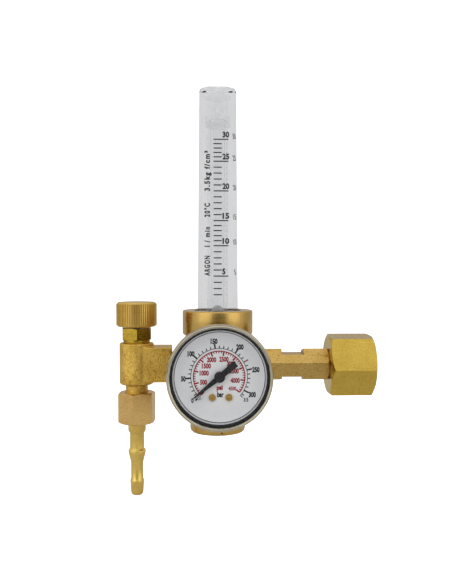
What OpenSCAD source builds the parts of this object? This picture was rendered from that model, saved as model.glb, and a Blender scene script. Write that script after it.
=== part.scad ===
// Preset-pressure gas regulator with flow tube, needle valve, hose barb and contents gauge.
// Origin: centre of the inlet sealing face. +X leaves the inlet, +Z is up, the dial faces -Y.
// Units are millimetres.

/* [Overall] */
// Distance from the sealing face to the body axis
inlet_reach = 72.4; // [66:0.2:87]
// Diameter of the main body
body_d = 36; // [34:0.5:43.5]
// Height of the clear cover's top above the inlet axis
cover_top = 153.6; // [125:0.2:185]
// Distance from the body axis to the valve axis
valve_reach = 45.5; // [44:0.5:56]
// Depth of the bottom cap below the inlet axis
cap_bottom = 37.5; // [36:0.5:46]

/* [Inlet] */
// Inlet nut across flats
nut_af = 32; // [27:0.5:39]
// Inlet nut length
nut_len = 25; // [22:0.5:29]
// Radius of the nut's thread wall
inlet_thread_r = 10.95; // [10.9:0.05:11.4]
// Stem hexagon across flats
stem_af = 17; // [16.6:0.1:20.5]
// Length of the nut's threaded stretch
inlet_thread_len = 14.9; // [12:0.1:18]

/* [Flow tube] */
// Width of the clear cover at its foot
cover_w = 22.4; // [19:0.1:22.6]
// Width of the clear cover at its top
cover_w_top = 20.5; // [17:0.1:22]
// Chamfer of the cover's long edges
cover_chamfer = 4.4; // [4:0.1:5]
// Radius of the cover's bore
cover_bore_r = 6.5; // [6.4:0.1:7]
// Outside radius of the metering tube
tube_r = 5.2; // [4.9:0.1:5.4]
// Radius of the float ball
ball_r = 3.5; // [3.1:0.05:3.5]
// Diameter of the collar nut
collar_d = 39.5; // [36:0.5:47]

/* [Valve and outlet] */
// Diameter of the tee's upright
tee_d = 19.2; // [18:0.1:23]
// Front to back depth of the tee's arm
arm_depth = 17.4; // [14:0.1:18.3]
// Knob diameter
knob_d = 22.7; // [18.5:0.1:27]
// Knob height
knob_h = 13.7; // [12:0.1:16.5]
// Number of flutes round the knob
knob_flutes = 58; // [40:1:70]
// Bonnet hexagon across flats
bonnet_af = 15.8; // [15:0.1:18.9]
// Outlet nut across flats
outlet_nut_af = 19; // [17:0.1:22.8]
// Radius of the hose barb's largest crest
barb_r = 4.87; // [4.5:0.01:5]
// Distance of the barb's tip below the inlet axis
barb_tip = 73.3; // [70:0.1:88]

/* [Gauge] */
// Bezel diameter
bezel_d = 53.4; // [52.4:0.1:63.4]
// Distance from the body's front to the bezel's front
gauge_depth = 34; // [34:0.5:41]

/* [Clearances] */
// Running clearance on a radius
run_gap = 0.06; // [0.03:0.01:0.09]
// Clearance at a fixed thread on a radius
thread_gap = 0.05; // [0.02:0.01:0.08]
// Gap between moving faces
face_gap = 0.1; // [0.05:0.05:0.2]

/* [Hidden] */
$fn = 48;
body_r = body_d / 2;
body_bottom = -19;
body_top = 16.8;
neck_r = 15;
neck_top = 26;
chamber_r = 5.6;
chamber_floor = -5;
seat_top = -3;
plug_bottom = 2.5;
plug_top = 8;
gallery_r = 11;
gallery_floor = 14;
lp_r = 6.5;
lp_z = 11;
lp_y = 11;
drill_r = 1.3;
piston_r = 13.5 - run_gap;
piston_bore = 13.5;
piston_top = -10;
piston_bottom = -14;
spigot_top = -15;
spring_r = 7.5;
plate_z = -cap_bottom + 7.5;
stem_boss = body_r + 1;
stem_start = stem_boss + 1;
nut_back = inlet_reach + inlet_thread_len - nut_len;
neck_stem_r = 8.2;
nipple_r = 9.6;
boss_face = -(valve_reach - 20.5);
arm_end = 19.7;
tee_r = tee_d / 2;
valve_seat_z = -3;
bonnet_foot = 12.6;
bonnet_hex = bonnet_foot + 1.7;
knob_z = 21.8;
bonnet_top = 21.1;
tee_foot = -10.7;
outlet_nut_top = -15.2;
cover_corner = cover_w / 2 - cover_chamfer;
lip_r = sqrt(cover_w * cover_w / 4 + cover_corner * cover_corner) + 0.1;
collar_top = 30.9;
tube_foot = 18.5;
tube_top = cover_top - 17;
post_top = 26.8;
ball_z = post_top + sqrt(ball_r * ball_r - 1.4 * 1.4) + 0.05;
tube_bore_r = ball_r + 0.1;
tube_bore_top = ball_r + 0.75;
relief_y = body_r + 1;
g0 = body_r;
bezel_r = bezel_d / 2;
case_r = bezel_r - 1.4;
case_in = case_r - 1;
pinion_n = 12;
sector_n = 100;
sector_step = 360 / sector_n;
sector_dist = 14;
sector_dir = -60;
pointer_dir = 219.4;
tail_r = 6;
tail_dir = -20;
link_x = 12.64;
link_y = -14.18;
tip_x = 16.9;
tip_y = -7.52;
tip_turn = 57.4;
link_len = 7.906;
bourdon_r = 19;

// Which piece to draw

// ---- placing and basic shapes ----
module at_body() {
    translate([-inlet_reach, 0, 0]) children();
}

module at_valve() {
    translate([-inlet_reach - valve_reach, 0, 0]) children();
}

module along_x() {
    rotate([0, 90, 0]) children();
}

// Local z runs to the front (-Y), local y runs up, from the body's front face.
module at_gauge() {
    at_body() rotate([90, 0, 0]) translate([0, 0, g0]) children();
}

// Local z runs to the back (+Y) at the height of the low pressure cross drilling.
module at_relief() {
    at_body() translate([0, 0, lp_z]) rotate([-90, 0, 0]) children();
}

module rod(r, z0, z1) {
    translate([0, 0, z0]) cylinder(r = r, h = z1 - z0);
}

module cone(r0, r1, z0, z1) {
    translate([0, 0, z0]) cylinder(r1 = r0, r2 = r1, h = z1 - z0);
}

module ring(r_out, r_in, z0, z1) {
    difference() {
        rod(r_out, z0, z1);
        rod(r_in, z0 - 1, z1 + 1);
    }
}

module turned(points) {
    rotate_extrude() polygon(points);
}

// Hexagon bar with a vertex turned to `turn` and both ends chamfered by `c`.
module hex_bar(af, z0, z1, turn, c) {
    r = af / sqrt(3);
    intersection() {
        rotate([0, 0, turn]) translate([0, 0, z0]) cylinder(r = r, h = z1 - z0, $fn = 6);
        turned([[0, z0], [r - 2 * c, z0], [r + 0.01, z0 + c], [r + 0.01, z1 - c],
            [r - 2 * c, z1], [0, z1]]);
    }
}

function on_arc(r, a) = [r * cos(a), r * sin(a)];

// Open coil spring as one closed sweep of a round wire.
module coil(r, wire, z0, z1, turns) {
    sides = 8;
    per_turn = 20;
    n = round(turns * per_turn);
    rise = z1 - z0 - 2 * wire;
    pts = [for (i = [0:n]) for (k = [0:sides - 1])
        let (a = i * 360 / per_turn, b = k * 360 / sides, q = r + wire * cos(b))
        [q * cos(a), q * sin(a), z0 + wire + rise * i / n + wire * sin(b)]];
    walls = [for (i = [0:n - 1]) for (k = [0:sides - 1])
        let (m = (k + 1) % sides)
        [i * sides + k, (i + 1) * sides + k, (i + 1) * sides + m, i * sides + m]];
    foot = [for (k = [0:sides - 1]) k];
    head = [for (k = [sides - 1:-1:0]) n * sides + k];
    polyhedron(points = pts, faces = concat(walls, [foot], [head]), convexity = 8);
}

// ---- inlet ----
module inlet_nut() color("goldenrod") at_body() {
    nut_front = inlet_reach + inlet_thread_len;
    along_x() difference() {
        hex_bar(nut_af, nut_back, nut_front, -26, 1.4);
        rod(neck_stem_r + run_gap, nut_back - 1, nut_front);
        rod(inlet_thread_r + 0.65, nut_back + 4, inlet_reach);
        rod(inlet_thread_r, inlet_reach - 1, nut_front + 1);
        cone(inlet_thread_r, inlet_thread_r + 0.9, nut_front - 0.8, nut_front + 0.1);
    }
}

module inlet_stem() color("goldenrod") at_body() {
    hex_end = nut_back - 0.3;
    along_x() difference() {
        union() {
            hex_bar(stem_af, stem_start, hex_end, 79, 0.6);
            rod(7, 11, stem_start);
            rod(neck_stem_r, hex_end - 2, nut_back + 4.4);
        }
        rod(2, 10, nut_back + 6);
        rod(5.5 + thread_gap, hex_end - 5, nut_back + 6);
        for (side = [-1, 1])
            translate([side * (stem_af / 2 + 0.2) - 2.5, -15, stem_start + 15.9])
                cube([5, 30, 12.2]);
    }
}

module inlet_nipple() color("goldenrod") at_body() {
    shoulder = nut_back + 4.4;
    along_x() difference() {
        union() {
            rod(5.5, nut_back - 4.8, shoulder);
            rod(nipple_r, shoulder, inlet_reach - 0.5);
        }
        rod(1.8, nut_back - 6, inlet_reach);
        rod(3, shoulder - 4, inlet_reach);
        rod(8.5, inlet_reach - 2, inlet_reach);
    }
}

module inlet_filter() color("peru") at_body() {
    along_x() rod(3, nut_back + 0.5, inlet_reach - 2.6);
}

module inlet_gasket() color("dimgray") at_body() {
    along_x() ring(8.45, 4.5, inlet_reach - 2, inlet_reach - 0.02);
}

module stem_seal_ring() color("chocolate") at_body() {
    along_x() ring(8.6, 7 + thread_gap, stem_boss, stem_start);
}

// ---- body ----
module main_body() color("goldenrod") at_body() difference() {
    union() {
        rod(body_r, body_bottom, body_top);
        rod(neck_r, body_top, neck_top);
        along_x() rod(8, boss_face, 0);
        along_x() rod(9.5, 0, stem_boss);
        rotate([90, 0, 0]) rod(8, 0, g0 + 0.5);
        translate([0, 0, lp_z]) rotate([-90, 0, 0]) rod(5.5, 0, relief_y);
    }
    rod(chamber_r, chamber_floor, plug_top);
    rod(1.5, -9, chamber_floor + 1);
    rod(lp_r, plug_top, gallery_floor + 1);
    rod(gallery_r, gallery_floor, neck_top + 1);
    rod(piston_bore, body_bottom - 1, -8);
    along_x() rod(2, 0, 12);
    along_x() rod(7 + thread_gap, 11, stem_boss + 1);
    along_x() rod(2, boss_face - 1, -9.3);
    along_x() rod(5 + thread_gap, boss_face - 1, boss_face + 7.5);
    translate([-9.3, 0, 0]) rod(drill_r, 0, gallery_floor + 1);
    translate([0, lp_y, 0]) rod(drill_r, -9, lp_z);
    translate([0, 0, lp_z]) rotate([-90, 0, 0]) rod(drill_r, 0, relief_y - 4);
    translate([0, 0, lp_z]) rotate([-90, 0, 0]) rod(3.5 + thread_gap, relief_y - 5.5, relief_y + 1);
    rotate([90, 0, 0]) rod(1.5, 0, g0 - 5);
    rotate([90, 0, 0]) rod(5 + thread_gap, g0 - 6, g0 + 1);
}

module spring_cap() color("goldenrod") at_body() difference() {
    union() {
        turned([[0, -cap_bottom], [13.5, -cap_bottom], [14.6, 0.3 - cap_bottom],
            [15.2, 0.9 - cap_bottom], [15.5, 2 - cap_bottom], [15.5, body_bottom],
            [0, body_bottom]]);
        rod(piston_bore - thread_gap, body_bottom, spigot_top);
    }
    rod(11, 4 - cap_bottom, spigot_top + 1);
    rod(4 + thread_gap, -cap_bottom - 1, 5 - cap_bottom);
    translate([2, 0, 1.8 - cap_bottom]) rotate([90, 0, 0]) rod(0.5, 12, 20);
}

module valve_seat() color("white") at_body() {
    ring(chamber_r - thread_gap, 1.5, chamber_floor, seat_top);
}

module poppet() color("silver") at_body() {
    rod(0.9, -5.9, -2.15);
    rod(2.8, -2.15, 0.5);
    rod(1, 0.5, 3);
}

module poppet_spring() color("gray") at_body() {
    coil(1.8, 0.3, 0.55, 4.95, 4);
}

module chamber_plug() color("goldenrod") at_body() difference() {
    rod(chamber_r - thread_gap, plug_bottom, plug_top);
    rod(2.8, plug_bottom - 1, 5);
    translate([0, 0, plug_top - 2]) cylinder(r = 2.3, h = 3, $fn = 6);
}

module piston() color("silver") at_body() difference() {
    union() {
        rod(piston_r, piston_bottom, piston_top);
        rod(1.2, piston_top, -6);
    }
    difference() {
        rod(piston_r + 1, -13, -11);
        rod(11.4, -14, -10);
    }
}

module piston_o_ring() color("black") at_body() {
    translate([0, 0, -12]) rotate_extrude() translate([12.45, 0]) circle(r = 0.92);
}

module spring_plate() color("silver") at_body() {
    rod(9.8, plate_z, plate_z + 2);
    rod(5.6, plate_z + 2, plate_z + 4);
}

module preset_spring() color("gray") at_body() {
    coil(spring_r, 1.1, plate_z + 2.02, piston_bottom - 0.02, 4.5);
}

module preset_screw() color("silver") at_body() difference() {
    rod(4, 1 - cap_bottom, plate_z);
    translate([0, 0, -cap_bottom]) cylinder(r = 2.3, h = 4, $fn = 6);
}

// ---- flow tube ----
module tube_seat() color("goldenrod") at_body() difference() {
    union() {
        rod(lp_r - thread_gap, 12.6, gallery_floor);
        rod(7.6, gallery_floor, 16.5);
        rod(tube_r + 0.9, 16.5, 22);
        rod(2.6, 16.5, post_top);
    }
    difference() {
        rod(tube_r + thread_gap, tube_foot, 23);
        rod(2.6, tube_foot - 1, 24);
    }
    rod(1.4, 12, post_top + 1);
}

module metering_tube() color("lightcyan", 0.4) at_body() difference() {
    rod(tube_r, tube_foot, tube_top);
    cone(tube_bore_r, tube_bore_top, tube_foot - 0.01, tube_top + 0.01);
}

module float_ball() color("dimgray") at_body() {
    translate([0, 0, ball_z]) sphere(r = ball_r);
}

module tube_top_guide() color("whitesmoke") at_body() {
    top = cover_top - 3.7;
    difference() {
        union() {
            rod(cover_bore_r - 0.15, tube_top - 4, tube_top + 2);
            rod(3.2, tube_top + 2, top - 1.5);
            rod(cover_bore_r - 0.15, top - 1.5, top);
        }
        rod(tube_r + thread_gap, tube_top - 5, tube_top);
        rod(1.6, tube_top - 1, top + 1);
        for (a = [0, 90])
            translate([0, 0, tube_top + 6]) rotate([90, 0, a]) rod(1, -5, 5);
        for (a = [0:90:270]) rotate([0, 0, a])
            translate([tube_r + 0.45, -1, tube_top - 5]) cube([3, 2, 8]);
    }
}

// Square outline with cut corners.
module cut_square(w, c) {
    h = w / 2;
    polygon([[h - c, -h], [h, c - h], [h, h - c], [h - c, h], [c - h, h], [-h, h - c],
        [-h, c - h], [c - h, -h]]);
}

module flow_cover() color("aliceblue", 0.3) at_body() difference() {
    union() {
        hull() {
            translate([0, 0, 28.4]) linear_extrude(0.1) cut_square(cover_w, cover_chamfer);
            translate([0, 0, cover_top - 2]) linear_extrude(0.1)
                cut_square(cover_w_top, cover_chamfer);
            translate([0, 0, cover_top - 0.1]) linear_extrude(0.1)
                cut_square(cover_w_top - 2.4, cover_chamfer);
        }
        rod(neck_r - 0.4, neck_top, 28.4);
        rod(gallery_r - 0.1, 22, neck_top);
    }
    rod(cover_bore_r, 21, cover_top - 3.5);
    difference() {
        rod(gallery_r + 1, 23, 25);
        rod(9.15, 22, 26);
    }
}

module cover_o_ring() color("black") at_body() {
    translate([0, 0, 24]) rotate_extrude() translate([10.08, 0]) circle(r = 0.9);
}

module collar_nut() color("goldenrod") at_body() {
    r = collar_d / 2;
    z0 = body_top + 0.1;
    turned([[neck_r + thread_gap, z0], [r - 1.5, z0], [r - 0.45, z0 + 0.45], [r, z0 + 1.5],
        [r, collar_top - 0.5], [r - 0.5, collar_top], [lip_r, collar_top], [lip_r, 28.5],
        [neck_r + thread_gap, 28.5]]);
}

// ---- outlet and needle valve ----
module outlet_body() color("goldenrod") at_valve() difference() {
    union() {
        rod(tee_r, tee_foot + 0.8, bonnet_foot);
        cone(tee_r - 0.9, tee_r, tee_foot, tee_foot + 0.8);
        translate([0, -arm_depth / 2, -8.7]) cube([arm_end, arm_depth, 19.3]);
        along_x() rod(5, arm_end, arm_end + 7);
        rod(6.2, outlet_nut_top - 0.6, tee_foot);
        rod(6.55, -26, outlet_nut_top - 0.6);
    }
    rod(6 + thread_gap, 3, bonnet_foot + 1);
    rod(4, valve_seat_z, 4);
    rod(1.3, -10, valve_seat_z + 1);
    rod(3, -27, -9);
    along_x() rod(2, 0, arm_end + 8);
}

module outlet_seal_ring() color("chocolate") at_valve() {
    along_x() ring(7.4, 5 + thread_gap, arm_end, arm_end + 0.8);
}

module valve_bonnet() color("goldenrod") at_valve() difference() {
    union() {
        rod(6, 3.2, bonnet_foot);
        rod(7.45, bonnet_foot, bonnet_hex);
        rod(6, bonnet_foot - 0.5, bonnet_hex + 0.7);
        hex_bar(bonnet_af, bonnet_hex, bonnet_top, -84, 0.6);
    }
    rod(3, 2, 13);
    rod(2.3, 12, 15);
    rod(4.05, bonnet_hex + 0.2, bonnet_top + 1);
}

module valve_packing() color("black") at_valve() {
    ring(4, 2 + run_gap, bonnet_hex + 0.2, bonnet_top - 0.6);
}

module spindle() color("silver") at_valve() difference() {
    union() {
        rod(2.95, 4, 7.8);
        rod(2, 7.8, 31);
    }
    rod(1.6 + run_gap, 3, 7.6);
}

module valve_needle() color("silver") at_valve() {
    rod(1.6, -1.5, 7.5);
    cone(0.5, 1.6, -5.5, -1.5);
}

module knob() color("goldenrod") at_valve() {
    r = knob_d / 2;
    z1 = knob_z + knob_h;
    step = 360 / knob_flutes;
    depth = 0.55;
    difference() {
        intersection() {
            translate([0, 0, knob_z]) linear_extrude(knob_h)
                polygon([for (i = [0:knob_flutes - 1])
                    for (p = [[r, -0.3], [r, 0.12], [r - depth, 0.3], [r - depth, 0.52]])
                        on_arc(p[0], (i + p[1]) * step)]);
            turned([[0, knob_z], [r - 1, knob_z], [r + 0.1, knob_z + 1], [r + 0.1, z1 - 1.2],
                [r - 1.1, z1], [0, z1]]);
        }
        rod(2, knob_z - 1, 31);
        rod(6.5, knob_z - 1, knob_z + 2);
        translate([0, 0, 28]) rotate([-90, 0, 0]) rod(1.5, 0, r + 1);
    }
}

module knob_screw() color("gray") at_valve() translate([0, 0, 28]) {
    rotate([-90, 0, 0]) difference() {
        rod(1.48, 2.05, 7);
        translate([0, 0, 5.5]) cylinder(r = 0.85, h = 3, $fn = 6);
    }
}

module outlet_nut() color("goldenrod") at_valve() difference() {
    hex_bar(outlet_nut_af, -32.4, outlet_nut_top, -97.5, 0.8);
    rod(6.55 + thread_gap, -30, outlet_nut_top + 1);
    rod(4.95 + 0.1, -34, -29);
}

module hose_barb() color("goldenrod") at_valve() {
    tip = -barb_tip;
    difference() {
        turned([[0, tip], [2.7, tip], [3.25, tip + 0.7], [3.5, tip + 1.8], [3.92, tip + 8.2],
            [3.45, tip + 9], [3.45, -55], [barb_r, -49.3], [barb_r, -47.9], [4.02, -47],
            [4.02, -38.4], [4.95, -36.9], [4.95, -29.9], [6.35, -29.9], [6.35, -26.05],
            [0, -26.05]]);
        rod(2.2, tip - 1, -25);
    }
}

// ---- relief valve ----
module relief_body() color("goldenrod") at_relief() difference() {
    union() {
        rod(3.5, relief_y - 5, relief_y);
        hex_bar(11, relief_y, relief_y + 5, 0, 0.5);
        rod(4.6, relief_y + 5, relief_y + 11);
    }
    rod(1.2, relief_y - 6, relief_y + 3);
    rod(3.4, relief_y + 2, relief_y + 12);
}

module relief_poppet() color("silver") at_relief() {
    rod(3.4 - run_gap, relief_y + 2.02, relief_y + 4);
    rod(1.2, relief_y + 4, relief_y + 7);
}

module relief_spring() color("gray") at_relief() {
    coil(2.2, 0.35, relief_y + 4.02, relief_y + 10.98, 5);
}

module relief_cap() color("goldenrod") at_relief() difference() {
    rod(5.6, relief_y + 7, relief_y + 12.5);
    rod(4.6 + thread_gap, relief_y + 6, relief_y + 11);
    rod(1.4, relief_y + 6, relief_y + 13);
}

// ---- gauge ----
// Path of the Bourdon tube, `extra` wider than the tube itself.
module tube_path(extra) {
    rotate([0, 0, -20]) rotate_extrude(angle = 284)
        translate([bourdon_r, 17.5]) square([2.2 + extra, 5 + extra], center = true);
}

module gauge_socket() color("goldenrod") at_gauge() difference() {
    union() {
        rod(5, -5.5, 1.3);
        hex_bar(14, 1.3, 7.4, 0, 0.5);
        rod(5, 7.4, 9.4);
        translate([-4.5, -21.5, 9.4]) cube([9, 26, 3.6]);
        translate([-4.5, -21.5, 13]) cube([9, 5, 7.8]);
    }
    rod(1.2, -6, 11);
    translate([0, -19, 11]) rotate([-90, 0, 0]) rod(0.8, 0, 19);
    tube_path(0.1);
}

module gauge_seal_ring() color("chocolate") at_gauge() {
    ring(7, 5 + thread_gap, 0.5, 1.3);
}

module gauge_case() color("silver") at_gauge() difference() {
    rod(case_r, 8, gauge_depth - 4.8);
    rod(case_in, 9.2, gauge_depth);
    rod(5.1, 7, 10);
    translate([-10, 11, 7]) rod(3, 0, 3);
}

module blowout_plug() color("black") at_gauge() translate([-10, 11, 0]) {
    rod(2.95, 8, 9.3);
    rod(3.9, 7.3, 8);
}

module gauge_bezel() color("silver") at_gauge() {
    f = gauge_depth;
    in_r = case_r + thread_gap;
    turned([[in_r, f - 9], [bezel_r - 0.6, f - 9], [bezel_r, f - 8.4], [bezel_r, f - 1.8],
        [bezel_r - 0.9, f - 0.5], [bezel_r - 2, f], [bezel_r - 3.4, f - 0.6],
        [bezel_r - 3.6, f - 1.5], [in_r, f - 1.5]]);
}

module gauge_lens() color("aliceblue", 0.2) at_gauge() {
    rod(case_r - 0.1, gauge_depth - 3.6, gauge_depth - 1.55);
}

module lens_gasket() color("black") at_gauge() {
    ring(case_r - 0.1, case_r - 1.8, gauge_depth - 4.8, gauge_depth - 3.6);
}

module gauge_dial() color("white") at_gauge() difference() {
    rod(case_in - 0.4, 25.6, 26.1);
    rod(1.2, 25, 27);
    for (x = [-3.7, 4.7]) translate([x, -10.5, 0]) rod(0.9, 25, 27);
    rotate([0, 0, 225.8]) translate([14.7, 0, 0]) rod(0.5, 25, 27);
}

module dial_screws() color("goldenrod") at_gauge() {
    for (x = [-3.7, 4.7]) translate([x, -10.5, 0]) {
        rod(0.8, 23.2, 26.1);
        difference() {
            rod(1.8, 26.1, 27);
            rod(0.7, 26.3, 28);
        }
    }
}

module stop_pin() color("silver") at_gauge() {
    rotate([0, 0, 225.8]) translate([14.7, 0, 0]) {
        rod(0.5, 25.6, 26.1);
        rod(0.9, 26.1, 28.4);
    }
}

module pointer() color("black") at_gauge() difference() {
    union() {
        rod(2.7, 26.7, 29);
        rotate([0, 0, pointer_dir]) translate([0, 0, 27.4]) linear_extrude(0.5)
            polygon([[-10.6, -1.65], [-2, -1.5], [0, -1.5], [12, -0.72], [17.8, -0.15],
                [17.8, 0.15], [12, 0.72], [0, 1.5], [-2, 1.5], [-10.6, 1.65]]);
    }
    rod(0.5, 26, 28.4);
}

module pinion() color("goldenrod") at_gauge() {
    step = 360 / pinion_n;
    rod(0.5, 13.1, 28.4);
    translate([0, 0, 15.8]) linear_extrude(2.2) rotate(sector_dir + step / 2)
        polygon([for (k = [0:pinion_n - 1])
            for (p = [[1.18, -7.2], [1.5, -6], [1.72, -3], [1.72, 3], [1.5, 6], [1.18, 7.2]])
                on_arc(p[0], k * step + p[1])]);
}

module at_sector() {
    rotate([0, 0, sector_dir]) translate([sector_dist, 0, 0]) rotate([0, 0, -sector_dir])
        children();
}

module sector_gear() color("goldenrod") at_gauge() {
    to_pinion = sector_dir + 180;
    at_sector() {
        rod(0.6, 13.1, 23.9);
        rod(1.8, 14.4, 17.3);
        translate([0, 0, 16.5]) linear_extrude(0.8) {
            polygon(concat([for (k = [-11:2])
                for (p = [[12.2, -1], [12.5, -0.72], [12.72, -0.45], [12.72, 0.45],
                    [12.5, 0.72], [12.2, 1]])
                    on_arc(p[0], to_pinion + k * sector_step + p[1])],
                [for (k = [2:-1:-11]) on_arc(10.6, to_pinion + k * sector_step)]));
            for (k = [-10, 1]) rotate(to_pinion + k * sector_step)
                translate([0, -0.6]) square([11, 1.2]);
            rotate(tail_dir) translate([0, -0.9]) square([tail_r, 1.8]);
            rotate(tail_dir) translate([tail_r, 0]) circle(r = 1);
        }
        rotate([0, 0, tail_dir]) translate([tail_r, 0, 0]) rod(0.45, 16.8, 21.8);
    }
}

module link() color("silver") at_gauge() translate([link_x, link_y, 20.8]) {
    rotate([0, 0, tip_turn]) linear_extrude(0.6) difference() {
        union() {
            circle(r = 1.2);
            translate([0, -0.7]) square([5, 1.4]);
            translate([4, -1.5]) square([link_len - 3.8, 3]);
            translate([link_len + 0.2, 0]) circle(r = 1.5);
        }
        circle(r = 0.45 + run_gap);
        translate([4.75, -0.9]) square([3.6, 1.8]);
    }
}

// Outline shared by the two movement plates.
module plate_2d() {
    circle(r = 7);
    rotate(sector_dir) translate([0, -4]) square([sector_dist, 8]);
    rotate(sector_dir) translate([sector_dist, 0]) circle(r = 3.4);
    translate([-6, -13]) square([9, 13]);
}

module movement_back() color("goldenrod") at_gauge() difference() {
    union() {
        translate([0, 0, 13]) linear_extrude(1.2) plate_2d();
        translate([-4.6, -11, 14.2]) cylinder(r = 1.2, h = 8.8);
        translate([-4.6, 2, 14.2]) cylinder(r = 1.2, h = 8.8);
    }
    rod(0.5 + run_gap, 12, 15);
    at_sector() rod(0.6 + run_gap, 12, 15);
}

module movement_front() color("goldenrod") at_gauge() difference() {
    union() {
        translate([0, 0, 23]) linear_extrude(1) {
            plate_2d();
            translate([-6, -13]) square([13, 5]);
        }
        for (x = [-3.7, 4.7]) translate([x, -10.5, 24]) cylinder(r = 1.6, h = 1.6);
    }
    rod(0.5 + run_gap, 22, 25);
    at_sector() rod(0.6 + run_gap, 22, 25);
    for (x = [-3.7, 4.7]) translate([x, -10.5, 0]) rod(0.8, 23.2, 26);
}

module hairspring() color("steelblue") at_gauge() {
    turns = 4;
    n = turns * 24;
    translate([0, 0, 19.2]) linear_extrude(0.5) polygon(concat(
        [for (i = [0:n]) on_arc(1 + 2.4 * i / n, i * 15)],
        [for (i = [n:-1:0]) on_arc(1.14 + 2.4 * i / n, i * 15)]));
}

module bourdon_tube() color("peru") at_gauge() difference() {
    tube_path(0);
    rotate([0, 0, -21]) rotate_extrude(angle = 284)
        translate([bourdon_r, 17.5]) square([1.3, 4.1], center = true);
}

module bourdon_tip() color("goldenrod") at_gauge() {
    rotate([0, 0, -20]) translate([bourdon_r - 1.6, -3, 14.8]) difference() {
        cube([3.2, 2.95, 5.6]);
        translate([-1, -1, 2]) cube([1.5, 5, 1.5]);
    }
    translate([tip_x, tip_y, 0]) rod(0.35, 18, 21.6);
}

inlet_nut();
inlet_stem();
inlet_nipple();
inlet_filter();
inlet_gasket();
stem_seal_ring();
main_body();
spring_cap();
valve_seat();
poppet();
poppet_spring();
chamber_plug();
piston();
piston_o_ring();
spring_plate();
preset_spring();
preset_screw();
tube_seat();
metering_tube();
float_ball();
tube_top_guide();
flow_cover();
cover_o_ring();
collar_nut();
outlet_body();
outlet_seal_ring();
valve_bonnet();
valve_packing();
spindle();
valve_needle();
knob();
knob_screw();
outlet_nut();
hose_barb();
gauge_socket();
gauge_seal_ring();
gauge_case();
blowout_plug();
gauge_bezel();
gauge_lens();
lens_gasket();
gauge_dial();
dial_screws();
stop_pin();
pointer();
pinion();
sector_gear();
movement_back();
movement_front();
hairspring();
bourdon_tube();
bourdon_tip();
link();
relief_body();
relief_poppet();
relief_spring();
relief_cap();
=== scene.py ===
import bpy, bmesh, math
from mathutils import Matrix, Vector


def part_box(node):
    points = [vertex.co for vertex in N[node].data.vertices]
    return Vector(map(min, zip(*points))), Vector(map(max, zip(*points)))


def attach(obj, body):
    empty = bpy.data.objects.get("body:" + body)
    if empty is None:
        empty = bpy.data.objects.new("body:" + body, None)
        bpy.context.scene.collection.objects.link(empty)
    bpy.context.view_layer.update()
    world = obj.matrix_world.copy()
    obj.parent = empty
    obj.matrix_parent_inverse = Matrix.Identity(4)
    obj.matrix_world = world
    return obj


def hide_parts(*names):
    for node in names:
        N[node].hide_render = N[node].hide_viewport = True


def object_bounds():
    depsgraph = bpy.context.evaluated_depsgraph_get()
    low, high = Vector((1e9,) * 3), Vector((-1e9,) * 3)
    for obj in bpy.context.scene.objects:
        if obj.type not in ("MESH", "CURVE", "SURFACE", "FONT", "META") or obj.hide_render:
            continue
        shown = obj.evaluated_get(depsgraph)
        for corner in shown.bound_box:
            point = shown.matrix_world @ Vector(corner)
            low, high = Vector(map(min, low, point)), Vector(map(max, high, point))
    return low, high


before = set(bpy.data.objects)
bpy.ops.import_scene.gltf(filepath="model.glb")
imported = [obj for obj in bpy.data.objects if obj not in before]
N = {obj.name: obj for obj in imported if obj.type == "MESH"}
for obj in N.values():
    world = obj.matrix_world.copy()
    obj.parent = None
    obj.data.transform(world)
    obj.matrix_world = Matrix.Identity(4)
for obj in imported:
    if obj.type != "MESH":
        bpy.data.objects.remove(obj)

cad_box = [list(v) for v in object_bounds()]
MM = 0.001


def centre(name):
    lo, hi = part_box(name)
    return Vector([(a + b) / 2 for a, b in zip(lo, hi)])


BX, BY = centre("collar_nut").x, centre("collar_nut").y         # the body's axis
GX, GZ = centre("gauge_bezel").x, centre("gauge_bezel").z       # the gauge's axis
BEZEL_FRONT = -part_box("gauge_bezel")[0][1] / MM                 # in mm in front of y = 0
DIAL_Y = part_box("gauge_dial")[0][1]


# ---------------------------------------------------------------- materials
WHITE = (1, 1, 1)
EVEN = (1, 1, 1)                # noise the same in every direction
TURNED_Z = (0.02, 0.02, 2.0)    # lines round a vertical axis
TURNED_X = (2.0, 0.02, 0.02)    # lines round the inlet's axis
DRAWN = (0.05, 2.0, 2.0)        # lines along X
FLOW_DARK = (0.62, 0.56, 0.46)  # what a forging's flow mark leaves of the tone


def grey(v):
    return (v,) * 3


def new_mat(name):
    m = bpy.data.materials.new(name)
    m.use_nodes = True
    nt = m.node_tree
    return m, nt, nt.nodes["Principled BSDF"]


def node(nt, kind, **kw):
    """A new node; a keyword sets the input of that name, or else the property."""
    n = nt.nodes.new(kind)
    for k, v in kw.items():
        if k in n.inputs:
            n.inputs[k].default_value = v
        else:
            setattr(n, k, v)
    return n


def noise(nt, scale, detail=4.0, rough=0.6, stretch=EVEN):
    """Noise in the piece's own coordinates, with `scale` features to the metre."""
    tc = node(nt, "ShaderNodeTexCoord")
    mp = node(nt, "ShaderNodeMapping")
    mp.inputs["Scale"].default_value = stretch
    nt.links.new(tc.outputs["Object"], mp.inputs["Vector"])
    n = node(nt, "ShaderNodeTexNoise", Scale=scale, Detail=detail, Roughness=rough)
    nt.links.new(mp.outputs[0], n.inputs["Vector"])
    return n.outputs["Fac"]


def ramp(nt, fac, stops):
    r = node(nt, "ShaderNodeValToRGB")
    while len(r.color_ramp.elements) < len(stops):
        r.color_ramp.elements.new(0.5)
    for e, (p, c) in zip(r.color_ramp.elements, stops):
        e.position = p
        e.color = (*c, 1)
    nt.links.new(fac, r.inputs["Fac"])
    return r.outputs["Color"]


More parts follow.
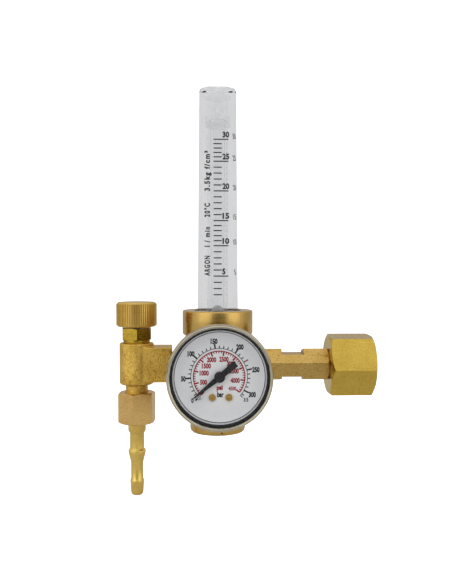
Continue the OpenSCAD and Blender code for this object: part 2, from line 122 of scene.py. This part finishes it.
def math_node(nt, operation, a, b):
    """a and b are sockets or numbers."""
    n = node(nt, "ShaderNodeMath", operation=operation)
    for socket, v in zip(n.inputs, (a, b)):
        if isinstance(v, (int, float)):
            socket.default_value = v
        else:
            nt.links.new(v, socket)
    return n.outputs[0]


def multiply(nt, a, b):
    """One colour times another."""
    mix = node(nt, "ShaderNodeMix", data_type="RGBA", blend_type="MULTIPLY")
    mix.inputs["Factor"].default_value = 1.0
    nt.links.new(a, mix.inputs[6])
    nt.links.new(b, mix.inputs[7])
    return mix.outputs[2]


def bumps(nt, bsdf, layers):
    """layers: (fac socket, strength, distance in metres)"""
    last = None
    for fac, strength, dist in layers:
        b = node(nt, "ShaderNodeBump", Strength=strength, Distance=dist)
        nt.links.new(fac, b.inputs["Height"])
        if last is not None:
            nt.links.new(last, b.inputs["Normal"])
        last = b.outputs["Normal"]
    nt.links.new(last, bsdf.inputs["Normal"])


def flow_marks(nt):
    """Contour lines of a noise, like the flow marks of a forging: 0 on a line, 1 between two."""
    half_step = 0.05
    flow = noise(nt, 230, 2.5, 0.5, (1, 1, 0.7))
    return math_node(nt, "MULTIPLY", math_node(nt, "PINGPONG", flow, half_step), 1 / half_step)


def metal(name, light, dark, rough, lines=EVEN, line_bump=0.1, pits=0.0, specks=0.0, forged=False):
    """Metal in two close tones, with fine lines that vary its roughness between the two in rough.

    lines: stretch of the lines. pits: bump of small pits. specks: how dark the small specks are.
    """
    m, nt, b = new_mat(name)
    b.inputs["Metallic"].default_value = 1.0
    tone = ramp(nt, noise(nt, 90, 5, 0.6), [(0.30, dark), (0.68, light)])
    if forged:
        marks = flow_marks(nt)
        tone = multiply(nt, tone, ramp(nt, marks, [(0.0, FLOW_DARK), (0.36, WHITE)]))
    if specks:
        dots = ramp(nt, noise(nt, 1100, 5, 0.7), [(0.36, grey(1 - specks)), (0.50, WHITE)])
        tone = multiply(nt, tone, dots)
    nt.links.new(tone, b.inputs["Base Color"])
    fine = noise(nt, 1400, 3, 0.6, lines)
    nt.links.new(ramp(nt, fine, [(0.3, grey(rough[0])), (0.7, grey(rough[1]))]), b.inputs["Roughness"])
    layers = [(fine, line_bump, 0.00005)]
    if pits:
        layers.append((noise(nt, 900, 6, 0.75), pits, 0.0002))
    if forged:
        layers.append((noise(nt, 330, 6, 0.7), 0.32, 0.0010))
        layers.append((marks, 0.5, 0.0002))
    bumps(nt, b, layers)
    return m


def plain(name, dark, light, rough, bump=0.1, scale=700):
    """A dull surface in two close tones."""
    m, nt, b = new_mat(name)
    b.inputs["Metallic"].default_value = 0.0
    f = noise(nt, scale, 5, 0.65)
    nt.links.new(ramp(nt, f, [(0.3, dark), (0.7, light)]), b.inputs["Base Color"])
    wide = noise(nt, scale * 0.4, 3)
    nt.links.new(ramp(nt, wide, [(0.3, grey(rough * 0.85)), (0.7, grey(rough * 1.15))]),
                 b.inputs["Roughness"])
    bumps(nt, b, [(f, bump, 0.0001)])
    return m


def clear(name, tint, rough, ior, trans=1.0, alpha=1.0):
    """Clear plastic, faintly uneven; alpha under 1 lets light straight through."""
    m, nt, b = new_mat(name)
    b.inputs["Transmission Weight"].default_value = trans
    b.inputs["IOR"].default_value = ior
    b.inputs["Alpha"].default_value = alpha
    f = noise(nt, 120, 4)
    paler = tuple(min(1, c * 1.02) for c in tint)
    nt.links.new(ramp(nt, f, [(0.3, tint), (0.7, paler)]), b.inputs["Base Color"])
    fine = noise(nt, 500, 3)
    nt.links.new(ramp(nt, fine, [(0.3, grey(rough * 0.7)), (0.7, grey(rough * 1.3))]),
                 b.inputs["Roughness"])
    bumps(nt, b, [(f, 0.02, 0.0002)])
    return m


# brass, light tone and dark tone
YELLOW, YELLOW_D = (0.68, 0.475, 0.088), (0.60, 0.395, 0.065)
PALE, PALE_D = (0.90, 0.65, 0.17), (0.74, 0.49, 0.12)
GOLD, GOLD_D = (0.62, 0.41, 0.125), (0.53, 0.335, 0.09)
ROSE, ROSE_D = (0.82, 0.545, 0.20), (0.68, 0.42, 0.14)
OLIVE, OLIVE_D = (0.56, 0.385, 0.055), (0.44, 0.28, 0.03)
KNOB, KNOB_D = (0.74, 0.515, 0.135), (0.60, 0.40, 0.095)
FORGED, FORGED_D = (0.88, 0.585, 0.13), (0.62, 0.37, 0.065)
M = {
    "nut": metal("brass_nut", YELLOW, YELLOW_D, (0.18, 0.30), TURNED_X, 0.05, 0.22, 0.2),
    "stem": metal("brass_stem", GOLD, GOLD_D, (0.28, 0.42), DRAWN, 0.25, 0.45, 0.42),
    "body": metal("brass_body", GOLD, GOLD_D, (0.22, 0.30), TURNED_Z, 0.03),
    "gauge_brass": metal("brass_small", GOLD, GOLD_D, (0.2, 0.3)),
    "forged": metal("brass_forged", FORGED, FORGED_D, (0.26, 0.44), EVEN, 0.12, 0.30, forged=True),
    "knob": metal("brass_knob", KNOB, KNOB_D, (0.26, 0.38), TURNED_Z, 0.10),
    "bonnet": metal("brass_bonnet", OLIVE, OLIVE_D, (0.16, 0.28), EVEN, 0.08, 0.3, 0.45),
    "rose": metal("brass_outlet_nut", ROSE, ROSE_D, (0.22, 0.34), TURNED_Z, 0.10, 0.14, 0.16),
    "barb": metal("brass_barb", PALE, PALE_D, (0.28, 0.38), TURNED_Z, 0.12, 0.08, 0.15),
    "nickel": metal("nickel", (0.58, 0.53, 0.41), (0.46, 0.41, 0.30), (0.08, 0.14), EVEN, 0.03),
    "steel": metal("steel", (0.56, 0.56, 0.57), (0.42, 0.42, 0.43), (0.24, 0.36), TURNED_Z, 0.1),
    "bronze": metal("bronze", (0.55, 0.33, 0.16), (0.38, 0.2, 0.1), (0.35, 0.5), EVEN, 0.3, 0.4),
    "rubber": plain("rubber", (0.012, 0.012, 0.013), (0.03, 0.03, 0.032), 0.5, 0.15),
    "fibre": plain("fibre_washer", (0.16, 0.05, 0.03), (0.28, 0.11, 0.06), 0.7, 0.4),
    "white": plain("white_plastic", (0.82, 0.82, 0.80), (0.9, 0.9, 0.88), 0.4, 0.05),
    "dial": plain("dial_enamel", (0.92, 0.925, 0.935), (0.96, 0.965, 0.975), 0.5, 0.04, 2500),
    "ring_white": plain("dial_bright", grey(0.88), grey(0.95), 0.5, 0.04, 2500),
    "pointer": plain("pointer_black", (0.006, 0.006, 0.008), (0.016, 0.016, 0.018), 0.45, 0.08),
    "ink": plain("ink_black", (0.004, 0.004, 0.005), (0.014, 0.014, 0.015), 0.5, 0.05, 3000),
    "ink_red": plain("ink_red", (0.32, 0.004, 0.012), (0.42, 0.010, 0.02), 0.5, 0.05, 3000),
    "ink_grey": plain("ink_grey", (0.22, 0.22, 0.23), (0.30, 0.30, 0.31), 0.5, 0.05, 3000),
    "ball": plain("ball", (0.40, 0.40, 0.395), (0.52, 0.52, 0.51), 0.22, 0.08),
    "cover": clear("clear_cover", (0.94, 0.943, 0.95), 0.02, 1.08, 0.90),
    "tube": clear("clear_tube", (0.975, 0.977, 0.98), 0.02, 1.03),
    "guide": clear("clear_guide", (0.80, 0.80, 0.81), 0.2, 1.2, 0.0, 0.10),
    "lens": clear("gauge_lens", (0.02, 0.02, 0.022), 0.03, 1.45, 0.0, 0.04),
}

USE = {
    "nut": "inlet_nut", "stem": "inlet_stem", "knob": "knob", "bonnet": "valve_bonnet",
    "rose": "outlet_nut", "barb": "hose_barb", "forged": "outlet_body",
    "body": "inlet_nipple main_body spring_cap chamber_plug tube_seat collar_nut",
    "gauge_brass": "gauge_socket dial_screws pinion sector_gear movement_back movement_front "
                   "bourdon_tip relief_body relief_cap",
    "steel": "poppet poppet_spring piston spring_plate preset_spring preset_screw spindle "
             "valve_needle knob_screw stop_pin link relief_poppet relief_spring",
    "bronze": "inlet_filter hairspring bourdon_tube", "nickel": "gauge_case gauge_bezel",
    "rubber": "piston_o_ring cover_o_ring valve_packing blowout_plug lens_gasket",
    "fibre": "stem_seal_ring outlet_seal_ring gauge_seal_ring", "white": "inlet_gasket valve_seat",
    "cover": "flow_cover", "tube": "metering_tube", "guide": "tube_top_guide", "lens": "gauge_lens",
    "ball": "float_ball", "dial": "gauge_dial", "pointer": "pointer",
}
LOOK = {name: look for look, names in USE.items() for name in names.split()}
BEVEL = {"inlet_nut": 0.25, "inlet_stem": 0.5, "main_body": 0.3, "spring_cap": 0.2,
         "collar_nut": 0.25, "valve_bonnet": 0.2, "outlet_nut": 0.3, "hose_barb": 0.12,
         "gauge_socket": 0.15, "relief_body": 0.15, "relief_cap": 0.3, "knob": 0.12,
         "gauge_case": 0.4}                                     # in mm
SHARP = 32                                                      # degrees between two faces


def bevel(o, width):
    w = o.modifiers.new("weld", "WELD")
    w.merge_threshold = 1e-6
    b = o.modifiers.new("bevel", "BEVEL")
    b.width = width * MM
    b.segments = 2
    b.limit_method = "ANGLE"
    b.angle_limit = math.radians(34)
    b.use_clamp_overlap = True
    b.harden_normals = True


def soften(o, voxel, rounds):
    """Blend the corners of a forging: a fine remesh, then smoothing."""
    m = o.modifiers.new("remesh", "REMESH")
    m.mode = "VOXEL"
    m.voxel_size = voxel * MM
    m.use_smooth_shade = True
    k = o.modifiers.new("smooth", "SMOOTH")
    k.factor = 0.5
    k.iterations = rounds


for name, o in N.items():
    o.data.materials.clear()
    o.data.materials.append(M[LOOK[name]])
    if name in BEVEL:
        bevel(o, BEVEL[name])
soften(N["outlet_body"], 0.32, 10)


# ---------------------------------------------------------------- mesh helpers
def smooth(me, angle):
    me.polygons.foreach_set("use_smooth", [True] * len(me.polygons))
    me.set_sharp_from_angle(angle=math.radians(angle))


def make(name, verts, faces, mat, replaces=(), body="regulator", angle=SHARP):
    me = bpy.data.meshes.new(name)
    me.from_pydata([tuple(v) for v in verts], [], faces)
    me.validate()
    o = bpy.data.objects.new(name, me)
    bpy.context.scene.collection.objects.link(o)
    bm = bmesh.new()
    bm.from_mesh(me)
    bmesh.ops.recalc_face_normals(bm, faces=bm.faces)
    bm.to_mesh(me)
    bm.free()
    me.materials.append(mat)
    smooth(me, angle)
    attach(o, body)
    if replaces:
        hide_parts(*replaces)
    return o


def lathe(profile, segs, shape=None):
    """Solid turned about the gauge's axis. profile: closed loop of (radius, distance in front)
    in mm. shape(i, r) may change the radius at step i of the turn."""
    vs, fs = [], []
    n = len(profile)
    for i in range(segs):
        a = 2 * math.pi * i / segs
        for r, h in profile:
            rr = (shape(i, r) if shape else r) * MM
            vs.append((GX + rr * math.cos(a), -h * MM, GZ + rr * math.sin(a)))
    for i in range(segs):
        j = (i + 1) % segs
        for k in range(n):
            m = (k + 1) % n
            fs.append((i * n + k, j * n + k, j * n + m, i * n + m))
    return vs, fs


# ---------------------------------------------------------------- gauge bezel, and lens seal whose black ring is partly a painted dark reflection
F = BEZEL_FRONT
COIN_R = 26.7
bezel = [(25.35, F - 9), (26.3, F - 9), (26.45, F - 8.7), (COIN_R, F - 8.4), (COIN_R, F - 3.4),
         (26.45, F - 3.1), (26.6, F - 2.7), (26.62, F - 2.2), (26.5, F - 1.5), (26.25, F - 0.8),
         (25.95, F - 0.3), (25.65, F - 0.05), (25.35, F), (25.1, F - 0.15), (24.95, F - 0.5),
         (24.85, F - 1.0), (24.8, F - 1.5), (25.35, F - 1.5)]


def coin(i, r):
    """Grooves of the coin edge: two steps of four are cut."""
    return r - 0.28 if r == COIN_R and i % 4 >= 2 else r


vs, fs = lathe(bezel, 720, coin)
make("bezel_coin_edge", vs, fs, M["nickel"], ["gauge_bezel"], angle=28)
# The seal stands for the real lens gasket, and its visible black ring is also a painted dark reflection of
# the bezel's polished inner slope.
seal = [(25.2, F - 3.65), (25.2, F - 4.75), (23.9, F - 4.8), (23.65, F - 4.7), (23.55, F - 4.3),
        (23.6, F - 3.8), (23.8, F - 3.65)]
vs, fs = lathe(seal, 192)
make("lens_seal_and_painted_reflection", vs, fs, M["rubber"], ["lens_gasket"])


# ---------------------------------------------------------------- printing
CAP = 0.70                      # height of a capital letter in the font, for size 1


class Print:
    """Flat marks in mm, gathered into one mesh."""

    def __init__(self):
        self.v, self.f = [], []

    def quad(self, pts):
        b = len(self.v)
        self.v += pts
        self.f.append(tuple(range(b, b + len(pts))))

    def line(self, p, q, w):
        p, q = Vector(p), Vector(q)
        d = (q - p).normalized()
        s = Vector((-d.y, d.x)) * w / 2
        self.quad([tuple(p + s), tuple(p - s), tuple(q - s), tuple(q + s)])

    def arc(self, r0, r1, a0, a1, n=120):
        for i in range(n):
            a = math.radians(a0 + (a1 - a0) * i / n)
            b = math.radians(a0 + (a1 - a0) * (i + 1) / n)
            self.quad([(r * math.cos(t), r * math.sin(t)) for r, t in ((r0, a), (r1, a), (r1, b), (r0, b))])

    def tick(self, r0, r1, deg, w):
        c, s = math.cos(math.radians(deg)), math.sin(math.radians(deg))
        self.line((r0 * c, r0 * s), (r1 * c, r1 * s), w)

    def text(self, body, x, y, height, width, bold, turn=0.0, space=1.0):
        """Text centred on (x, y), drawn out to that width."""
        cu = bpy.data.curves.new("t", "FONT")
        cu.body = body
        cu.size = 1.0
        cu.offset = bold
        cu.space_character = space
        cu.resolution_u = 4
        ob = bpy.data.objects.new("t", cu)
        bpy.context.scene.collection.objects.link(ob)
        dg = bpy.context.evaluated_depsgraph_get()
        me = bpy.data.meshes.new_from_object(ob.evaluated_get(dg))
        xs = [v.co.x for v in me.vertices]
        x0, x1 = min(xs), max(xs)
        sx = width / (x1 - x0)
        sy = height / CAP
        c, s = math.cos(math.radians(turn)), math.sin(math.radians(turn))
        b = len(self.v)
        for v in me.vertices:
            px = (v.co.x - (x0 + x1) / 2) * sx
            py = (v.co.y - CAP / 2) * sy
            self.v.append((x + px * c - py * s, y + px * s + py * c))
        for p in me.polygons:
            self.f.append(tuple(b + i for i in p.vertices))
        bpy.data.objects.remove(ob)
        bpy.data.meshes.remove(me)
        bpy.data.curves.remove(cu)

    def build(self, name, place, mat, slot):
        return make(name, [place(x, y) for x, y in self.v], self.f, mat)


# ---------------------------------------------------------------- dial
K = 0.506                       # mm in one unit of the dial's layout
PSI_IN_BAR = 14.504


def bar_angle(p):
    return 225 - 0.846 * p


def psi_angle(p):
    return bar_angle(p / PSI_IN_BAR)


def on_dial(lift):
    return lambda x, y: (GX + (x - 0.2) * MM, DIAL_Y - lift * MM, GZ + (y - 0.1) * MM)


# bar: value, radius in units, width and shift down or up in mm
BAR_NUMBERS = ((50, 35.6, 2.35, -0.1), (100, 36.2, 3.5, 0), (150, 36.3, 3.5, -0.3),
               (200, 36.6, 3.7, -0.3), (250, 37.5, 3.7, -0.9), (300, 37.6, 3.6, 0.1))
# psi: value, place in units right and up, width in mm
PSI_NUMBERS = (("500", -15.6, -5.3, 3.5), ("1000", -14.9, 3.8, 4.6), ("1500", -12.7, 10.9, 4.6),
               ("2000", -7.6, 17.1, 4.7), ("2500", 4.7, 17.5, 4.7), ("3000", 12.0, 13.0, 4.4),
               ("3500", 14.9, 5.8, 4.6), ("4000", 15.8, -3.7, 4.7))
WIDE_TICK, THIN_TICK = 0.80, 0.5

black, red, bright = Print(), Print(), Print()
bright.arc(26.2 * K, 27.9 * K, bar_angle(315), bar_angle(0))
black.arc(27.9 * K, 28.5 * K, bar_angle(315), bar_angle(0))
for p in range(0, 320, 10):
    major = p % 50 == 0
    black.tick(28 * K, (33.4 if major else 31.0) * K, bar_angle(p), WIDE_TICK if major else THIN_TICK)
black.tick(28 * K, 31.4 * K, bar_angle(315), 0.4)
for p, r, w, dy in BAR_NUMBERS:
    a = math.radians(bar_angle(p))
    black.text(str(p), r * K * math.cos(a), r * K * math.sin(a) + dy, 2.4, w, 0.056)
black.text("315", 26.6 * K, -23.1 * K, 1.75, 2.3, 0.045)
black.text("0", -26.6 * K, -23.6 * K, 2.2, 1.2, 0.045)
black.text("bar", 1.2 * K, -17.6 * K, 2.5, 3.3, 0.05)
red.arc(25.0 * K, 26.1 * K, psi_angle(4500) - 0.6, 225.6)
for p in range(0, 4501, 100):
    major = p % 500 == 0
    red.tick(25.2 * K, (21.2 if major else 23.4) * K, psi_angle(p), WIDE_TICK if major else THIN_TICK)
red.tick(28.6 * K, 33.3 * K, bar_angle(230), 0.62)
for t, x, y, w in PSI_NUMBERS:
    red.text(t, x * K, y * K, 2.3, w, 0.052)
red.text("4500", 12.9 * K, -11.7 * K, 1.8, 3.8, 0.04)
red.text("psi", 0.5 * K, -10.6 * K, 2.3, 3.1, 0.05)
black.build("dial_print_black", on_dial(0.03), M["ink"], "dial_white")
red.build("dial_print_red", on_dial(0.03), M["ink_red"], "dial_white")
bright.build("dial_print_white", on_dial(0.02), M["ring_white"], "dial_white")

edge = [(22.9, F - 7.85), (22.9, F - 5.2), (23.0, F - 4.95), (23.85, F - 4.95), (23.85, F - 7.85)]
vs, fs = lathe(edge, 192)
make("dial_edge_ring", vs, fs, M["dial"])
# Thin black ring at the dial's edge: the inner edge of the case, made black as a painted shadow of the gap
# there.
rim = [(22.6, F - 5.4), (22.6, F - 5.0), (22.7, F - 4.9), (22.88, F - 4.9), (22.88, F - 5.4)]
vs, fs = lathe(rim, 192)
make("dial_rim_painted_shadow_line", vs, fs, M["rubber"])

# ---------------------------------------------------------------- clear cover
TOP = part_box("flow_cover")[1][2] / MM
FOOT = 28.4                     # where the square part starts
WIDE, NARROW = 22.4, 20.5       # across the flats at the foot and at the top
CHAMFER = 4.4
FLANGE_R, SPIGOT_R, GROOVE_R, TUBE_R = 14.6, 10.9, 9.15, 6.5


def outline(w, c):
    """Square of width w with corners cut by c and softened, as points round it."""
    h, soft, steps = w / 2, 0.55, 3
    q = h - c
    corners = [Vector(p) for p in ((h, -q), (h, q), (q, h), (-q, h), (-h, q), (-h, -q), (-q, -h), (q, -h))]
    pts = []
    for i, p in enumerate(corners):
        a = (corners[i - 1] - p).normalized() * soft
        b = (corners[(i + 1) % len(corners)] - p).normalized() * soft
        for s in range(steps + 1):
            t = s / steps
            pts.append(p + a * (1 - t) ** 2 + b * t ** 2)
    return pts


def circle(r, like):
    """Points on a circle, in the directions of the outline's."""
    angles = [math.atan2(p.y, p.x) for p in like]
    return [Vector((r * math.cos(a), r * math.sin(a))) for a in angles]


def on_axis(pts, z):
    return [(BX + p.x * MM, BY + p.y * MM, z * MM) for p in pts]


def loft(rings, hole):
    """Closed solid on the body's axis. rings: (z, outline). hole: (z, radius) from the foot up."""
    first = rings[0][1]
    n = len(first)
    vs, fs = [], []
    for z, pts in rings:
        vs += on_axis(pts, z)
    for j in range(len(rings) - 1):
        for i in range(n):
            k = (i + 1) % n
            fs.append((j * n + i, j * n + k, (j + 1) * n + k, (j + 1) * n + i))
    fs.append(tuple((len(rings) - 1) * n + i for i in range(n)))
    base = len(vs)
    for z, r in hole:
        vs += on_axis(circle(r, first), z)
    for j in range(len(hole) - 1):
        for i in range(n):
            k = (i + 1) % n
            fs.append((base + j * n + i, base + (j + 1) * n + i, base + (j + 1) * n + k, base + j * n + k))
    fs.append(tuple(base + (len(hole) - 1) * n + i for i in range(n - 1, -1, -1)))
    for i in range(n):
        k = (i + 1) % n
        fs.append((i, base + i, base + k, k))
    return vs, fs


def width_at(z):
    return WIDE + (NARROW - WIDE) * (z - FOOT) / (TOP - 2 - FOOT)


ref = outline(WIDE, CHAMFER)
round_part = [(22.0, 10.7), (23.0, SPIGOT_R), (23.0, GROOVE_R), (25.0, GROOVE_R), (25.0, SPIGOT_R),
              (26.0, SPIGOT_R), (26.0, FLANGE_R), (28.2, FLANGE_R), (FOOT, 14.4)]
rings = [(z, circle(r, ref)) for z, r in round_part] + [(FOOT, ref)]
for t in (0.0, 0.5, 1.0):
    z = 29.0 + (TOP - 2.4 - 29.0) * t
    rings.append((z, outline(width_at(z), CHAMFER)))
for a in (20, 45, 70, 90):      # rounded top edge
    q = math.radians(a)
    inset = 1 - math.cos(q)
    rings.append((TOP - 2.2 + 2.2 * math.sin(q),
                  outline(width_at(TOP - 2) - 4.0 * inset, CHAMFER - 1.2 * inset)))
vs, fs = loft(rings, [(22.0, TUBE_R), (60.0, TUBE_R), (100.0, TUBE_R), (TOP - 4.3, TUBE_R),
                      (TOP - 3.7, 6.2), (TOP - 3.5, 5.6)])
make("clear_cover", vs, fs, M["cover"], ["flow_cover"], angle=25)

# ---------------------------------------------------------------- scale on the cover
LIFT = 0.02                     # mm in front of the cover


def on_front(x, z):
    return (BX + x * MM, BY - (width_at(z) / 2 + LIFT) * MM, z * MM)


def on_chamfer(x, z):
    """On the cut corner at the front right, x across it."""
    h = width_at(z) / 2 - CHAMFER / 2 + LIFT
    q = math.sqrt(0.5)
    return (BX + (h + q * x) * MM, BY - (h - q * x) * MM, z * MM)


# flow: value and height
MARKS = ((5, 50.1), (10, 66.7), (15, 80.4), (20, 96.55), (25, 112.65), (30, 124.55))
# words: text and the heights it runs between
WORDS = (("ARGON", 50.2, 61.2), ("l / min", 66.1, 77.0), ("20°C", 82.3, 89.9), ("3.5kg f/cm²", 96.5, 118.4))
LINE = 0.62

front, dots, side = Print(), Print(), Print()
minor = [za + (zb - za) * k / 5 for (a, za), (b, zb) in zip(MARKS, MARKS[1:]) for k in range(1, 5)]
minor += [MARKS[0][1] - 3.4 * k for k in range(1, 4)]
for z in minor:
    front.line((-2.4, z), (2.05, z), LINE)
    dots.line((4.5, z - 0.15), (4.95, z - 0.15), 0.42)
for v, z in MARKS:
    one = v < 10                # a single figure
    front.line((-2.4, z), (5.75, z), LINE)
    front.text(str(v), 3.2 if one else 4.3, z + 2.6, 2.9, 1.8 if one else 3.7, 0.048)
    side.text(str(v), 0.9, z + 2.2, 2.9, 1.3 if one else 2.4, 0.02, turn=14)
for t, z0, z1 in WORDS:
    front.text(t, -5.9, (z0 + z1) / 2, 2.8, z1 - z0, 0.045, turn=90, space=1.3)
for x in (-8.4, 5.9):           # small dark moulding marks in the top corners
    front.line((x, TOP - 3.5), (x + 2.0, TOP - 3.3), 0.8)
front.build("scale_front", on_front, M["ink"], "clear_plastic")
dots.build("scale_dots", on_front, M["ink_grey"], "clear_plastic")
side.build("scale_side", on_chamfer, M["ink"], "clear_plastic")

# ---------------------------------------------------------------- washer at the cover's foot
# it fills the gap between the square cover and the round hole of the collar
inner = outline(WIDE + 0.1, CHAMFER)
outer = circle(math.hypot(WIDE / 2, WIDE / 2 - CHAMFER) + 0.05, inner)
vs, fs = [], []
n = len(inner)
for z in (30.2, 31.0):
    vs += on_axis(inner, z) + on_axis(outer, z)
for i in range(n):
    k = (i + 1) % n
    fs += [(i, k, n + k, n + i), (2 * n + i, 3 * n + i, 3 * n + k, 2 * n + k),
           (i, 2 * n + i, 2 * n + k, k), (n + i, n + k, 3 * n + k, 3 * n + i)]
make("cover_foot_washer", vs, fs, M["rubber"])

# ---------------------------------------------------------------- inlet nut thread
PITCH, ROOT_R, CREST_R = 1.814, 10.97, 9.85
STEPS, FADE = 72, 30            # steps to a turn, and steps that each end of the ridge takes to rise
HALF_ROOT, HALF_CREST, BEHIND = 0.80, 0.14, 0.15
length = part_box("inlet_nut")[1][0] / MM
n = int((length - 2.4) / PITCH * STEPS)
vs, fs = [], []
for i in range(n + 1):
    a = 2 * math.pi * i / STEPS
    x = 0.8 + PITCH * i / STEPS
    crest = ROOT_R - (ROOT_R - CREST_R) * min(1.0, i / FADE, (n - i) / FADE)
    for dx, r in ((-HALF_ROOT, ROOT_R), (-HALF_CREST, crest), (HALF_CREST, crest), (HALF_ROOT, ROOT_R),
                  (HALF_ROOT, ROOT_R + BEHIND), (-HALF_ROOT, ROOT_R + BEHIND)):
        vs.append(((x + dx) * MM, r * MM * math.cos(a), r * MM * math.sin(a)))
for i in range(n):
    for k in range(6):
        m = (k + 1) % 6
        fs.append((i * 6 + k, (i + 1) * 6 + k, (i + 1) * 6 + m, i * 6 + m))
fs += [tuple(range(6)), tuple(n * 6 + k for k in range(5, -1, -1))]
make("inlet_thread_ridge", vs, fs, M["nut"], body="nut")

# ---------------------------------------------------------------- stage
FLOOR = cad_box[0][2]
HALF_WIDTH, CURVE = 1.15, 0.6   # metres: half the sheet's width, and the radius where it turns up


def stage_mat():
    """Pale floor that glows white to the camera and through clear plastic, and reflects as grey."""
    m, nt, b = new_mat("stage_white")
    b.inputs["Roughness"].default_value = 0.9
    nt.links.new(ramp(nt, noise(nt, 3, 3), [(0.3, grey(0.64)), (0.7, grey(0.68))]), b.inputs["Base Color"])
    b.inputs["Emission Color"].default_value = (1, 1, 1, 1)
    ray = node(nt, "ShaderNodeLightPath").outputs
    seen = math_node(nt, "MULTIPLY", ray["Is Camera Ray"], 0.95)
    through = math_node(nt, "MULTIPLY", ray["Is Transmission Ray"], 0.18)
    glow = math_node(nt, "ADD", math_node(nt, "ADD", seen, 0.03), through)
    nt.links.new(glow, b.inputs["Emission Strength"])
    return m


bend = [math.radians(a) for a in range(0, 91, 6)]
path = [(-1.6, FLOOR)]
path += [(0.9 + CURVE * math.sin(a), FLOOR + CURVE - CURVE * math.cos(a)) for a in bend]
path += [(0.9 + CURVE, FLOOR + 2.6)]
vs = [(BX + side, y, z) for y, z in path for side in (-HALF_WIDTH, HALF_WIDTH)]
fs = [(2 * i, 2 * i + 1, 2 * i + 3, 2 * i + 2) for i in range(len(path) - 1)]
me = bpy.data.meshes.new("floor")
me.from_pydata(vs, [], fs)
me.polygons.foreach_set("use_smooth", [True] * len(me.polygons))
me.materials.append(stage_mat())
floor = bpy.data.objects.new("floor", me)
bpy.context.scene.collection.objects.link(floor)


# ---------------------------------------------------------------- light
def area(name, loc, w, h, power):
    """A soft light of w by h metres, aimed at the part."""
    l = bpy.data.lights.new(name, "AREA")
    l.shape = "RECTANGLE"
    l.size, l.size_y = w, h
    l.energy = power
    o = bpy.data.objects.new(name, l)
    o.location = loc
    o.rotation_euler = (Vector((BX, 0, 0.03)) - Vector(loc)).to_track_quat("-Z", "Y").to_euler()
    bpy.context.scene.collection.objects.link(o)


area("key_left", (BX - 0.85, -0.75, 0.35), 0.9, 1.2, 1.9)
area("key_right", (BX + 0.90, -0.75, 0.30), 0.9, 1.2, 1.9)
area("top", (BX, -0.35, 0.95), 1.0, 0.8, 0.8)

# dark cards in the room: direction, soft edge from and to in degrees, and what is left of the light
CARDS = (((0.0, -1.0, -0.10), 7, 34, 0.16), ((-0.906, 0.423, -0.10), 15, 20, 0.25),
         ((0.857, 0.515, -0.10), 10, 42, 0.60), ((0.42, -0.90, -0.10), 3, 14, 0.66))
world = bpy.data.worlds.new("world")
bpy.context.scene.world = world
world.use_nodes = True
wn = world.node_tree
bg = wn.nodes["Background"]
bg.inputs["Color"].default_value = (0.80, 0.80, 0.81, 1)
view = node(wn, "ShaderNodeTexCoord").outputs["Generated"]


def card(direction, inner, outer, rest):
    """1 outside a soft-edged dark card in that direction, `rest` inside it."""
    dot = node(wn, "ShaderNodeVectorMath", operation="DOT_PRODUCT")
    wn.links.new(view, dot.inputs[0])
    dot.inputs[1].default_value = Vector(direction).normalized()
    mr = node(wn, "ShaderNodeMapRange", interpolation_type="SMOOTHSTEP")
    edge_out, edge_in = math.cos(math.radians(outer)), math.cos(math.radians(inner))
    for socket, v in (("From Min", edge_out), ("From Max", edge_in), ("To Min", 1.0), ("To Max", rest)):
        mr.inputs[socket].default_value = v
    wn.links.new(dot.outputs["Value"], mr.inputs["Value"])
    return mr.outputs[0]


room = card(*CARDS[0])
for args in CARDS[1:]:
    room = math_node(wn, "MULTIPLY", room, card(*args))
# the room looks white when seen directly, past the edge of the floor sheet
seen = node(wn, "ShaderNodeLightPath").outputs["Is Camera Ray"]
wn.links.new(math_node(wn, "ADD", room, seen), bg.inputs["Strength"])

# ---------------------------------------------------------------- camera
cam = bpy.data.cameras.new("camera")
cam.sensor_width = 36
cam.sensor_fit = "AUTO"
cam.lens = 43.15
co = bpy.data.objects.new("camera", cam)
co.location = (BX - 0.009, -0.394, 0.0545)
yaw, pitch = math.radians(2.0), math.radians(1.96)      # to the right, and down
d = Vector((math.sin(yaw) * math.cos(pitch), math.cos(yaw) * math.cos(pitch), -math.sin(pitch)))
co.rotation_euler = d.to_track_quat("-Z", "Y").to_euler()
bpy.context.scene.collection.objects.link(co)
bpy.context.scene.camera = co
bpy.context.scene.view_settings.view_transform = "Standard"
bpy.context.scene.view_settings.look = "None"
